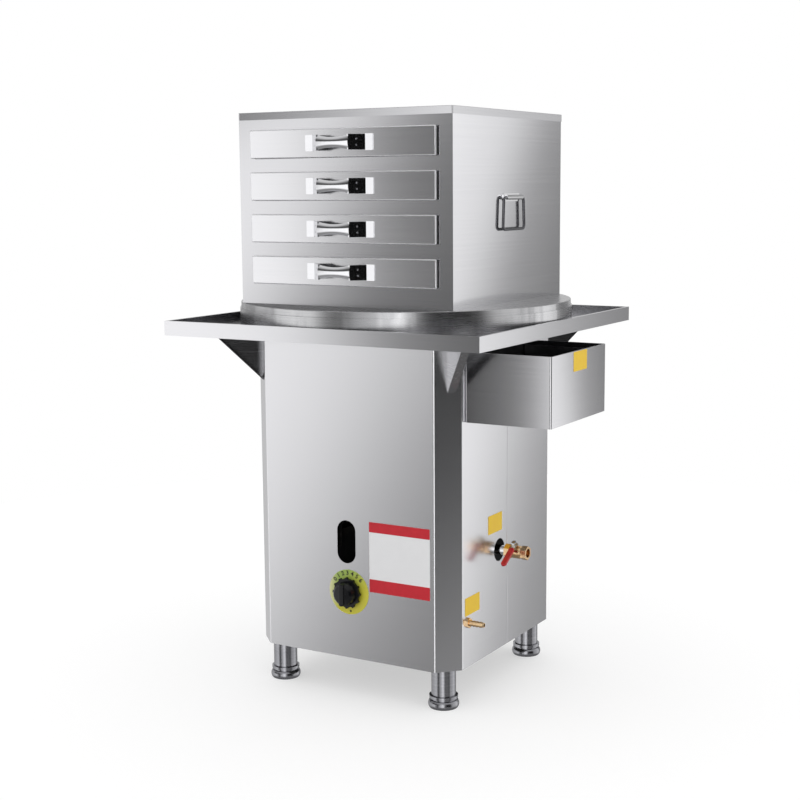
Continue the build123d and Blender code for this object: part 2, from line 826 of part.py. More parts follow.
def make_gas_inlet():
    """Barbed hose tail with a nut each side of the panel."""
    nut = RegularPolygon(inlet_radius + inlet_nut_rim, 6, major_radius=False)
    first_barb = inlet_nut + inlet_plain
    barb_pitch = (inlet_reach - first_barb - inlet_tip) / barb_count
    points = [(inlet_bore, -pipe_from_panel), (inlet_radius, -pipe_from_panel), (inlet_radius, inlet_nut)]
    for step in range(barb_count):
        start = first_barb + step * barb_pitch
        points += [(inlet_radius, start), (inlet_neck, start + barb_pitch)]
    points += [(inlet_neck, inlet_reach), (inlet_bore, inlet_reach)]
    tail = turned(points)
    tail += extrude(nut - Circle(inlet_bore), inlet_nut)
    tail += Pos(0, 0, -sheet - inlet_nut) * extrude(nut - Circle(inlet_bore), inlet_nut)
    return along_x(tail, cabinet_half, inlet_y, inlet_level)


def make_gas_pipe():
    """Tube from the hose tail to the control's side inlet."""
    points = [
        (cabinet_half - pipe_from_panel, inlet_y, inlet_level), (pipe_turn_x, inlet_y, inlet_level),
        (pipe_turn_x, valve_middle_y, knob_level), (valve_stub, valve_middle_y, knob_level),
    ]
    return bent_tube(points, gas_bend, gas_tube_radius, gas_tube_bore)


# ---------------------------------------------------------------- drain


def tilted(shape):
    """Put a solid drawn up +Z from the origin on the drain valve's tilted stem."""
    return Pos(ball_x, -drain_offset, drain_level) * Rot(stem_tilt, 0, 0) * shape


def make_drain_pipe():
    points = [
        (drain_drop_reach, -drain_offset, pot_bottom),
        (drain_drop_reach, -drain_offset, drain_level),
        (valve_start_x, -drain_offset, drain_level),
    ]
    return bent_tube(points, pipe_bend, pipe_radius, pipe_bore)


def make_drain_valve():
    """Brass ball valve: hexagon ends, round barrel and the bonnet that holds the stem."""
    length = valve_body_length
    hexagon = RegularPolygon(valve_hex / 2, 6, major_radius=False)
    neck = valve_barrel_radius - valve_barrel_step
    barrel_start = valve_ball_place - valve_barrel_length / 2
    barrel_end = valve_ball_place + valve_barrel_length / 2
    barrel = turned([
        (0, 0), (neck, 0), (neck, barrel_start - valve_barrel_slope),
        (valve_barrel_radius, barrel_start), (valve_barrel_radius, barrel_end),
        (neck, barrel_end + valve_barrel_slope), (neck, length), (0, length),
    ])
    ends = extrude(hexagon, valve_hex_length)
    ends += Pos(0, 0, length - valve_hex_length) * extrude(hexagon, valve_hex_length)
    body = along_x(barrel + ends, valve_start_x, -drain_offset, drain_level)
    body += tilted(extrude(Circle(bonnet_radius), bonnet_height))
    way = bar((valve_start_x, -drain_offset, drain_level), (valve_end_x, -drain_offset, drain_level),
              ball_bore)
    mouth = bar((valve_end_x - mouth_depth, -drain_offset, drain_level),
                (valve_end_x, -drain_offset, drain_level), mouth_radius)
    seat = Pos(ball_x, -drain_offset, drain_level) * Sphere(ball_radius + running_gap)
    stem_bore = tilted(extrude(Circle(stem_radius + running_gap), 2 * bonnet_height))
    return body - way - mouth - seat - stem_bore


def make_drain_ball():
    """Ball and stem in one, closed at rest: its bore lies across the pipe."""
    ball = Sphere(ball_radius)
    ball -= Rot(90, 0, 0) * Cylinder(ball_bore, 4 * ball_radius)
    stem_length = bonnet_height + lever_thickness + lever_nut_height
    stem_start = ball_bore
    ball += Pos(0, 0, stem_start) * extrude(Circle(stem_radius), stem_length - stem_start)
    return tilted(ball)


def make_drain_lever():
    """Flat lever from the stem, straight out over the body towards the front."""
    blade_width = lever_width - lever_taper
    eye = Circle(lever_width / 2 + lever_eye)
    blade = Pos(0, -lever_length / 2) * Rectangle(blade_width, lever_length)
    tip = Pos(0, -lever_length) * Circle(blade_width / 2)
    hole = Circle(stem_radius + lever_fit)
    lever = extrude(eye + blade + tip - hole, lever_thickness)
    return tilted(Pos(0, 0, bonnet_height) * lever)


def make_lever_sleeve():
    """Red dipped grip round the blade of the lever."""
    outer_width = lever_width - lever_taper + 2 * sleeve_skin
    outline = Pos(0, -lever_length + sleeve_length / 2) * SlotOverall(
        sleeve_length + outer_width, outer_width, rotation=90
    )
    sleeve = Pos(0, 0, -sleeve_skin) * extrude(outline, lever_thickness + 2 * sleeve_skin)
    sleeve = fillet(sleeve.faces().sort_by(Axis.Z)[-1].edges(), sleeve_edge)
    sleeve = tilted(Pos(0, 0, bonnet_height) * sleeve)
    return sleeve - make_drain_lever()


def make_lever_nut():
    nut = RegularPolygon(lever_nut_width / 2, 6, major_radius=False) - Circle(stem_radius + lever_fit)
    level = bonnet_height + lever_thickness
    nut = extrude(nut, lever_nut_height)
    nut = chamfer(nut.faces().sort_by(Axis.Z)[-1].outer_wire().edges(), lever_nut_edge)
    return tilted(Pos(0, 0, level) * nut)


# ---------------------------------------------------------------- water filling box


def make_water_box():
    """Open box on the cabinet's side, with a hem folded in round its rim."""
    depth = tank_front + tank_back
    middle = (cabinet_half + tank_reach / 2, (tank_back - tank_front) / 2)
    outline = RectangleRounded(tank_reach, depth, tank_corner)
    inside = RectangleRounded(tank_reach - 2 * sheet, depth - 2 * sheet, tank_corner - sheet)
    hem = RectangleRounded(tank_reach - 4 * sheet, depth - 4 * sheet, tank_corner - 2 * sheet)
    tank = extrude(outline, tank_height) - extrude(hem, 2 * tank_height)
    tank -= Pos(0, 0, sheet) * extrude(inside, tank_height - sheet - tank_hem)
    tank += extrude(inside, sheet)
    tank = Pos(middle[0], middle[1], tank_bottom) * tank
    tank -= bar((cabinet_half - sheet, -feed_offset, feed_level),
                (cabinet_half + 2 * sheet, -feed_offset, feed_level), feed_radius + running_gap)
    return tank


def make_feed_pipe():
    """Short pipe from the filling box through the cabinet's wall into the pot."""
    pot_wall = sqrt(pot_radius ** 2 - feed_offset ** 2)
    start = (pot_wall - feed_into_pot, -feed_offset, feed_level)
    end_x = cabinet_half + sheet + 2 * feed_nut
    pipe = bar(start, (end_x, -feed_offset, feed_level), feed_radius)
    nut = RegularPolygon(feed_radius + feed_nut_rim, 6, major_radius=False)
    pipe += along_x(extrude(nut, feed_nut), cabinet_half + sheet, -feed_offset, feed_level)
    return pipe - bar(start, (end_x, -feed_offset, feed_level), feed_bore)


# ---------------------------------------------------------------- steam box


def drawer_level(number):
    return cover_top + lowest_drawer + (number - 1) * drawer_pitch


def make_box_casing():
    """Sides and back of the steam box, folded from one sheet."""
    ring = Pos(0, -box_half) * rounded_ring(box_size, 2 * box_size, sheet, bend)
    depth = box_size - sheet
    wall = ring & (Pos(0, box_half - depth / 2) * Rectangle(box_size, depth))
    return Pos(0, 0, cover_top) * extrude(wall, box_height - lid_sheet)


def make_box_lid():
    """Top of the steam box, with a band folded down over the sides."""
    size = box_size + 2 * lid_sheet
    lid = extrude(RectangleRounded(size, size, bend), lid_band)
    lid = fillet(lid.faces().sort_by(Axis.Z)[-1].edges(), lid_sheet * 0.8)
    lid -= extrude(Rectangle(box_size, box_size), lid_band - lid_sheet)
    return Pos(0, 0, box_top - lid_band) * lid


def make_box_front():
    """Front plate with four drawer openings, each with its edge turned in."""
    height = box_height - lid_sheet
    middle = cover_top + height / 2
    outside = front_plane(-box_half)
    plate = Pos(0, middle) * Rectangle(box_size, height)
    edge = rounded_ring(opening_width + 2 * sheet, opening_height + 2 * sheet, sheet, bend)
    cut = RectangleRounded(opening_width, opening_height, bend - sheet)
    front = extrude(outside * plate, -sheet)
    for number in drawer_numbers:
        level = Pos(0, drawer_level(number))
        front += extrude(outside * (level * edge), -(sheet + opening_return))
        front -= extrude(outside * (level * cut), -(sheet + opening_return))
    side_x = box_half - sheet * 1.5
    for x in (-side_x, side_x):
        flange = Pos(x, middle) * Rectangle(sheet, height)
        front += extrude(outside * flange, -(sheet + front_return))
    return front


def make_liner():
    """Inner steam chamber: sides, back and roof, with a foot that closes the insulation."""
    inner_front = -box_half + sheet
    depth = liner_outside - inner_front
    middle_y = (liner_outside + inner_front) / 2
    height = liner_roof - cover_top
    inner_depth = depth - thin_sheet
    shell = Pos(0, middle_y, cover_top) * extrude(Rectangle(2 * liner_outside, depth), height)
    hollow = Pos(0, middle_y - thin_sheet / 2, cover_top) * extrude(
        Rectangle(2 * liner_inside, inner_depth), height - thin_sheet
    )
    foot_half = box_half - sheet
    foot = Pos(0, (foot_half + inner_front) / 2, cover_top) * extrude(
        Rectangle(2 * (foot_half - sheet), foot_half - inner_front), thin_sheet
    )
    return (shell + foot) - hollow


def make_insulation():
    """Foam between the casing and the liner, round the sides, back and roof."""
    gap = sheet
    half = box_half - sheet - gap / 2
    front = -box_half + sheet + front_return + gap
    bottom = cover_top + thin_sheet + gap / 2
    top = box_top - lid_sheet - gap / 2
    depth = half - front
    block = Pos(0, (half + front) / 2, bottom) * extrude(Rectangle(2 * half, depth), top - bottom)
    liner_half = liner_outside + gap / 2
    liner_space = Pos(0, (liner_half - box_size) / 2, cover_top) * extrude(
        Rectangle(2 * liner_half, liner_half + box_size), liner_roof + gap / 2 - cover_top
    )
    return block - liner_space


def make_runners():
    """An angle on each side for every drawer's flange."""
    start = -box_half + sheet + runner_start
    end = liner_inside - runner_end_gap
    tip = pan_width / 2 + runner_gap
    rails = []
    for number in drawer_numbers:
        top = drawer_level(number) + pan_above_centre - thin_sheet
        section = make_face(Polyline(
            (tip, top), (liner_inside, top), (liner_inside, top - runner_drop),
            (liner_inside - sheet, top - runner_drop), (liner_inside - sheet, top - sheet),
            (tip, top - sheet), close=True,
        ))
        rail = extrude(front_plane(start) * section, -(end - start))
        rails += [rail, mirror(rail, Plane.YZ)]
    return rails


def make_bail_brackets():
    """Hinge leaf and knuckle tube on each side of the steam box."""
    half = knuckle_length / 2
    leaf = right_plane(box_half) * Pos(0, bail_level) * RectangleRounded(
        knuckle_length, bail_leaf_height, bend
    )
    bracket = extrude(leaf, bail_leaf)
    bracket += bar((bail_x, -half, bail_level), (bail_x, half, bail_level), knuckle_radius)
    bracket -= bar((bail_x, -half, bail_level), (bail_x, half, bail_level),
                   bail_rod_radius + running_gap)
    return [bracket, mirror(bracket, Plane.YZ)]


def make_bail():
    """Lifting handle of round rod, hanging from its knuckle on the right side."""
    inner = knuckle_length / 2 - bail_engagement
    low = bail_level - bail_drop
    points = [
        (bail_x, -inner, bail_level), (bail_x, -bail_top_half, bail_level),
        (bail_x, -bail_bottom_half, low), (bail_x, bail_bottom_half, low),
        (bail_x, bail_top_half, bail_level), (bail_x, inner, bail_level),
    ]
    return bent_tube(points, bail_corner, bail_rod_radius)


# ---------------------------------------------------------------- drawers


def make_drawer_front(level):
    """Front panel, its rounded edges turned back over the seal."""
    place = Pos(0, level)
    outline = place * RectangleRounded(drawer_width, drawer_height, drawer_corner)
    panel = extrude(front_plane(drawer_face) * outline, -drawer_fold)
    panel = fillet(panel.faces().sort_by(Axis.Y)[0].edges(), drawer_edge)
    inside = place * RectangleRounded(
        drawer_width - 2 * thin_sheet, drawer_height - 2 * thin_sheet, drawer_corner - thin_sheet
    )
    return panel - extrude(front_plane(panel_back) * inside, -drawer_fold)


def make_drawer_pan(level):
    """Drawn tray with a flange on both sides and the back that slides on the runners."""
    top = level + pan_above_centre
    length = pan_back - panel_back
    middle = (pan_back + panel_back) / 2
    outer = extrude(RectangleRounded(pan_width, length, pan_corner), pan_depth)
    inner = Pos(0, 0, thin_sheet) * extrude(
        RectangleRounded(pan_width - 2 * thin_sheet, length - 2 * thin_sheet, pan_corner - thin_sheet),
        pan_depth,
    )
    outer = fillet(outer.faces().sort_by(Axis.Z)[0].edges(), pan_base_radius)
    inner = fillet(inner.faces().sort_by(Axis.Z)[0].edges(), pan_base_radius - thin_sheet)
    flange = Pos(0, pan_flange / 2, pan_depth - thin_sheet) * extrude(
        RectangleRounded(pan_width + 2 * pan_flange, length + pan_flange, pan_corner), thin_sheet
    )
    return Pos(0, middle, top - pan_depth) * (outer + flange - inner)


def make_drawer_seal(level):
    """Black rubber ring, held in the panel's edge, that closes on the frame round the opening."""
    width = drawer_width - 2 * thin_sheet
    height = drawer_height - 2 * thin_sheet
    wall = min(seal_width, (height - pan_depth) / 2 - sheet)
    ring = rounded_ring(width, height, wall, bend)
    return extrude(front_plane(panel_back) * (Pos(0, level) * ring), -(drawer_proud - thin_sheet))


def handle_section(x, half_height, crown):
    """Flat-backed, crowned section of the grip at one place along it."""
    back = -(handle_reach - handle_crown)
    flat = Line((back, -half_height), (back, half_height))
    arc = ThreePointArc((back, half_height), (back - crown, 0), (back, -half_height))
    return Plane(origin=(x, 0, 0), x_dir=(0, 1, 0), z_dir=(1, 0, 0)) * make_face(flat + arc)


def make_handle(level):
    """Waisted, crowned grip on two slanted legs with flat feet."""
    growth = handle_end_half - handle_waist_half
    shares = [2 * station / (grip_stations - 1) - 1 for station in range(grip_stations)]
    grip = loft([
        handle_section(
            share * handle_grip_half, handle_waist_half + growth * share ** 2,
            handle_crown * (1 - grip_thinning * (1 - share ** 2)),
        )
        for share in shares
    ])
    back = -(handle_reach - handle_crown)
    foot = handle_length / 2 - handle_flange
    leg_section = make_face(Polyline(
        (foot, 0), (handle_grip_half - handle_strap, back),
        (handle_grip_half - handle_strap, back - handle_root),
        (handle_grip_half, back - handle_crown / 2), (foot + handle_strap, 0), close=True,
    ))
    leg = extrude(leg_section, handle_end_half, both=True)
    flange = Pos(foot + handle_flange / 2, -handle_flange_thickness / 2, 0) * Box(
        handle_flange, handle_flange_thickness, handle_height
    )
    flange = fillet(flange.edges().filter_by(Axis.Y), handle_corner)
    side = leg + flange
    hole_x = (foot + handle_grip_half) / 2
    for z in (-handle_hole_spacing / 2, handle_hole_spacing / 2):
        side -= bar((hole_x, 0, z), (hole_x, -handle_reach, z), handle_hole_radius)
    handle = grip + side + mirror(side, Plane.YZ)
    return Pos(0, drawer_face, level) * handle


# ---------------------------------------------------------------- write every node

save("table_top", make_table_top())
save("table_brackets", Compound(make_brackets()))
save("front_casing", make_front_casing())
save("rear_casing", make_rear_casing())
save("base_frame", make_base_frame())
save("leg_tubes", Compound(make_leg_tubes()))
save("leg_bolts", Compound(make_leg_bolts()))
for number, (x, y) in enumerate(leg_points(), start=1):
    save(f"foot_{number}", Pos(x, y) * make_foot())

save("pot", make_pot())
save("pot_collar", make_collar())
save("pot_cover", make_cover())
save("flame_shroud", make_shroud())
save("burner_stand", Compound(make_burner_stand()))
save("burner_head", make_burner_head())
save("mixing_tube", make_mixing_tube())
save("gas_injector", make_gas_injector())
save("gas_control", make_gas_control())
save("gas_pipe", make_gas_pipe())
save("gas_inlet", make_gas_inlet())
save("control_plunger", make_plunger())
save("control_spindle", make_spindle())
save("knob", make_knob())
save("dial_plate", make_dial())

save("drain_pipe", make_drain_pipe())
save("drain_valve", make_drain_valve())
save("drain_ball", make_drain_ball())
save("drain_lever", make_drain_lever())
save("lever_sleeve", make_lever_sleeve())
save("lever_nut", make_lever_nut())
save("water_box", make_water_box())
save("feed_pipe", make_feed_pipe())

save("box_casing", make_box_casing())
save("box_lid", make_box_lid())
save("box_front", make_box_front())
save("box_liner", make_liner())
save("box_insulation", make_insulation())
save("drawer_runners", Compound(make_runners()))
save("bail_brackets", Compound(make_bail_brackets()))
right_bail = make_bail()
save("bail_right", right_bail)
save("bail_left", mirror(right_bail, Plane.YZ))

for number in drawer_numbers:
    level = drawer_level(number)
    save(f"drawer_{number}_front", make_drawer_front(level))
    save(f"drawer_{number}_pan", make_drawer_pan(level))
    save(f"drawer_{number}_seal", make_drawer_seal(level))
    save(f"drawer_{number}_handle", make_handle(level))
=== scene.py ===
import json
import math

import bmesh
import bpy
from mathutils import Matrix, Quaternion, Vector

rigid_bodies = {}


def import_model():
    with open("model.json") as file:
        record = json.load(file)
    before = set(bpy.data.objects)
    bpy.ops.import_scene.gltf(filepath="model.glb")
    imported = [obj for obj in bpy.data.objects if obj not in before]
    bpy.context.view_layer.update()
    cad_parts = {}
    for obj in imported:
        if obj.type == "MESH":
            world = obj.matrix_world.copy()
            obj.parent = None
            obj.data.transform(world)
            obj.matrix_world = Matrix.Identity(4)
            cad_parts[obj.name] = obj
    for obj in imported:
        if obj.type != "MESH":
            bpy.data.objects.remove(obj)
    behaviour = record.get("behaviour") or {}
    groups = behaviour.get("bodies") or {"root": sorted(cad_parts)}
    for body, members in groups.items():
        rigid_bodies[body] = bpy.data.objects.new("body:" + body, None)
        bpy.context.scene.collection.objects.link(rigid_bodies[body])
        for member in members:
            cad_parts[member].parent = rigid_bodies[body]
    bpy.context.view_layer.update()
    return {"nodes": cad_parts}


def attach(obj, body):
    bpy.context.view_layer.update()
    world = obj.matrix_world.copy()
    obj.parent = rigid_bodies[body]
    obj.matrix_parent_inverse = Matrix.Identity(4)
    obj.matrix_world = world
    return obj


for leftover in list(bpy.data.objects):     # anything that was there at start-up
    bpy.data.objects.remove(leftover)
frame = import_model()
nodes = frame["nodes"]
print("steamer loaded:", len(nodes), "metal, plastic and rubber parts")

# ---- camera, where the photograph was taken from
camera = {
    "lookAt": (-0.0489, 0.0, 0.5912),
    "azimuth": 30.389,
    "elevation": 8.380,
    "roll": -0.46,
    "distance": 3.166,
    "focus": 1460.0,            # in pixels of a frame 800 wide
    "frameWidth": 800.0,
    "sensor": 36.0,
}


def placeCamera():
    across, up = math.radians(camera["azimuth"]), math.radians(camera["elevation"])
    back = Vector((math.sin(across) * math.cos(up), -math.cos(across) * math.cos(up), math.sin(up)))
    target = Vector(camera["lookAt"])
    data = bpy.data.cameras.new("photoCamera")
    data.sensor_width = camera["sensor"]
    data.lens = camera["focus"] * camera["sensor"] / camera["frameWidth"]
    data.clip_start, data.clip_end = 0.05, 60.0
    eye = bpy.data.objects.new("photoCamera", data)
    bpy.context.scene.collection.objects.link(eye)
    eye.location = target + back * camera["distance"]
    turn = (-back).to_track_quat("-Z", "Y") @ Quaternion((0, 0, 1), math.radians(camera["roll"]))
    eye.rotation_mode = "QUATERNION"
    eye.rotation_quaternion = turn
    bpy.context.scene.camera = eye


# ---- shader building


class Signal:
    # one output socket; arithmetic on it adds Math nodes
    def __init__(self, graph, socket):
        self.graph = graph
        self.socket = socket

    def maths(self, operation, first, second=0.0):
        return self.graph.add("ShaderNodeMath", {"operation": operation}, [first, second])

    def __add__(self, other):
        return self.maths("ADD", self, other)

    __radd__ = __add__

    def __sub__(self, other):
        return self.maths("SUBTRACT", self, other)

    def __rsub__(self, other):
        return self.maths("SUBTRACT", other, self)

    def __mul__(self, other):
        return self.maths("MULTIPLY", self, other)

    __rmul__ = __mul__

    def __abs__(self):
        return self.maths("ABSOLUTE", self)


class Graph:
    def __init__(self, tree):
        self.tree = tree
        tree.nodes.clear()

    def add(self, kind, settings=None, inputs=(), output=0):
        node = self.tree.nodes.new(kind)
        for name, value in (settings or {}).items():
            if name == "stops":
                ramp = node.color_ramp
                while len(ramp.elements) < len(value):
                    ramp.elements.new(1.0)
                for stop, (position, colour) in zip(ramp.elements, value):
                    stop.position = position
                    stop.color = (*colour, 1.0)
                ramp.interpolation = "EASE"
            else:
                setattr(node, name, value)
        pairs = inputs.items() if isinstance(inputs, dict) else enumerate(inputs)
        for key, value in pairs:
            if isinstance(value, Signal):
                self.tree.links.new(value.socket, node.inputs[key])
            elif isinstance(value, tuple) and len(value) == 3 and node.inputs[key].type == "RGBA":
                node.inputs[key].default_value = (*value, 1.0)
            else:
                node.inputs[key].default_value = value
        return Signal(self, node.outputs[output]) if node.outputs else None

    def parts(self, vector):
        split = self.add("ShaderNodeSeparateXYZ", None, [vector])
        sockets = split.socket.node.outputs
        return [Signal(self, sockets[index]) for index in range(3)]

    def ease(self, value, low, high):
        # 0 below low, 1 above high, smooth between
        return self.add("ShaderNodeMapRange", {"interpolation_type": "SMOOTHSTEP"},
                        {"Value": value, "From Min": low, "From Max": high})

    def blend(self, share, first, second):
        return self.add("ShaderNodeMix", {"data_type": "RGBA"}, {0: share, 6: first, 7: second}, 2)

    def noise(self, place, scale, detail=2.0, rough=0.5):
        return self.add("ShaderNodeTexNoise", None,
                        {"Vector": place, "Scale": scale, "Detail": detail, "Roughness": rough})


# ---- studio: what the metal reflects round about, bearing 0 in front, 90 on the steamer's right
studio = {
    "bearings": [               # bearing in degrees, level there at the height of the eye
        (-180, 0.55), (-150, 0.70), (-112, 0.62), (-88, 0.80), (-58, 1.10), (-45, 1.34), (-36, 1.26),
        (-27, 0.21), (-22, 0.16), (-17, 0.03), (-13, 0.05), (-4, 1.00), (10, 1.05), (15, 2.00),
        (28, 2.00), (35, 0.80), (39, 0.0),
        (82, 0.0), (92, 0.80), (118, 0.96), (140, 1.36), (150, 1.10), (159, 0.38), (168, 0.22), (180, 0.55),
    ],
    "underLight": {"from": 44, "to": 78, "soft": 6, "level": 0.42,      # off the floor, low down
                   "fade": (-0.36, -0.17)},
    "overShade": {"from": -75, "to": -5, "soft": 8, "level": 0.08,      # dark ceiling edge in front
                  "fade": (0.12, 0.22)},
    "brightest": 2.0,
    "floorLevel": 0.30,         # seen in the metal, looking down
    "floorFade": (-0.60, -0.34),
    "topLevel": 0.75,
    "topFade": (0.35, 0.75),
    "plainLevel": 0.78,         # what lights the matt pieces
    "plainLift": 0.34,
    "plainFade": (-0.3, 1.0),
}


def buildStudio():
    world = bpy.data.worlds.new("studio")
    bpy.context.scene.world = world
    world.use_nodes = True
    graph = Graph(world.node_tree)
    x, y, z = graph.parts(graph.add("ShaderNodeTexCoord"))
    bearing = graph.add("ShaderNodeMath", {"operation": "ARCTAN2"}, [x, 0.0 - y])
    stops = []
    for degrees, level in studio["bearings"]:
        stops.append(((degrees + 180.0) / 360.0, (level / studio["brightest"],) * 3))
    around = graph.add("ShaderNodeValToRGB", {"stops": stops}, [bearing * (0.5 / math.pi) + 0.5])
    around = graph.parts(around)[0] * studio["brightest"]
    patches = []
    for patch in (studio["underLight"], studio["overShade"]):
        start, end, soft = (math.radians(patch[key]) for key in ("from", "to", "soft"))
        past = graph.ease(bearing, start - soft, start + soft)
        patches.append(past * (1 - graph.ease(bearing, end - soft, end + soft)))
    lit = patches[0] * (1 - graph.ease(z, *studio["underLight"]["fade"]))
    around = around + lit * studio["underLight"]["level"]
    shade = patches[1] * graph.ease(z, *studio["overShade"]["fade"])
    around = around + shade * (studio["overShade"]["level"] - around)
    low = 1 - graph.ease(z, *studio["floorFade"])
    high = graph.ease(z, *studio["topFade"])
    level = around + low * (studio["floorLevel"] - around)
    level = level + high * (studio["topLevel"] - level)
    ray = graph.add("ShaderNodeLightPath")
    seen = {name: Signal(graph, ray.socket.node.outputs[name]) for name in ("Is Camera Ray", "Is Glossy Ray")}
    plain = studio["plainLevel"] + studio["plainLift"] * graph.ease(z, *studio["plainFade"])
    level = seen["Is Glossy Ray"] * level + (1 - seen["Is Glossy Ray"]) * plain
    level = seen["Is Camera Ray"] + (1 - seen["Is Camera Ray"]) * level
    colour = graph.add("ShaderNodeBackground", None, {"Color": (1.0, 1.0, 1.0), "Strength": level})
    graph.add("ShaderNodeOutputWorld", None, [colour])


floorLook = {"sides": 96, "radius": 2.2, "colour": (0.5, 0.5, 0.5), "lift": 0.52}


def layFloor():
    bpy.ops.mesh.primitive_circle_add(vertices=floorLook["sides"], radius=floorLook["radius"],
                                      fill_type="NGON")
    floor = bpy.context.active_object
    floor.name = "studioFloor"
    material = bpy.data.materials.new("studioFloor")
    material.use_nodes = True
    graph = Graph(material.node_tree)
    ray = graph.add("ShaderNodeLightPath")
    matte = graph.add("ShaderNodeBsdfDiffuse", None, {"Color": floorLook["colour"]})
    glow = graph.add("ShaderNodeEmission", None,
                     {"Color": (1.0, 1.0, 1.0), "Strength": ray * floorLook["lift"]})
    both = graph.add("ShaderNodeAddShader", None, [matte, glow])
    graph.add("ShaderNodeOutputMaterial", None, [both])
    floor.data.materials.append(material)
    floor.visible_glossy = False


# ---- finishes


def newGraph(name):
    material = bpy.data.materials.new(name)
    material.use_nodes = True
    return material, Graph(material.node_tree)


def finishWith(graph, sockets):
    shader = graph.add("ShaderNodeBsdfPrincipled", None, sockets)
    graph.add("ShaderNodeOutputMaterial", None, [shader])


steelGrain = {
    "level": (0.6, 0.8),        # how squarely a face looks up or down before it counts as level
    "detail": 3.0, "rough": 0.6,
    "cloudScale": 3.5,
    "share": 0.7,               # of the grain in the colour, the clouds give the rest
    "mix": (0.3, 0.7),
}
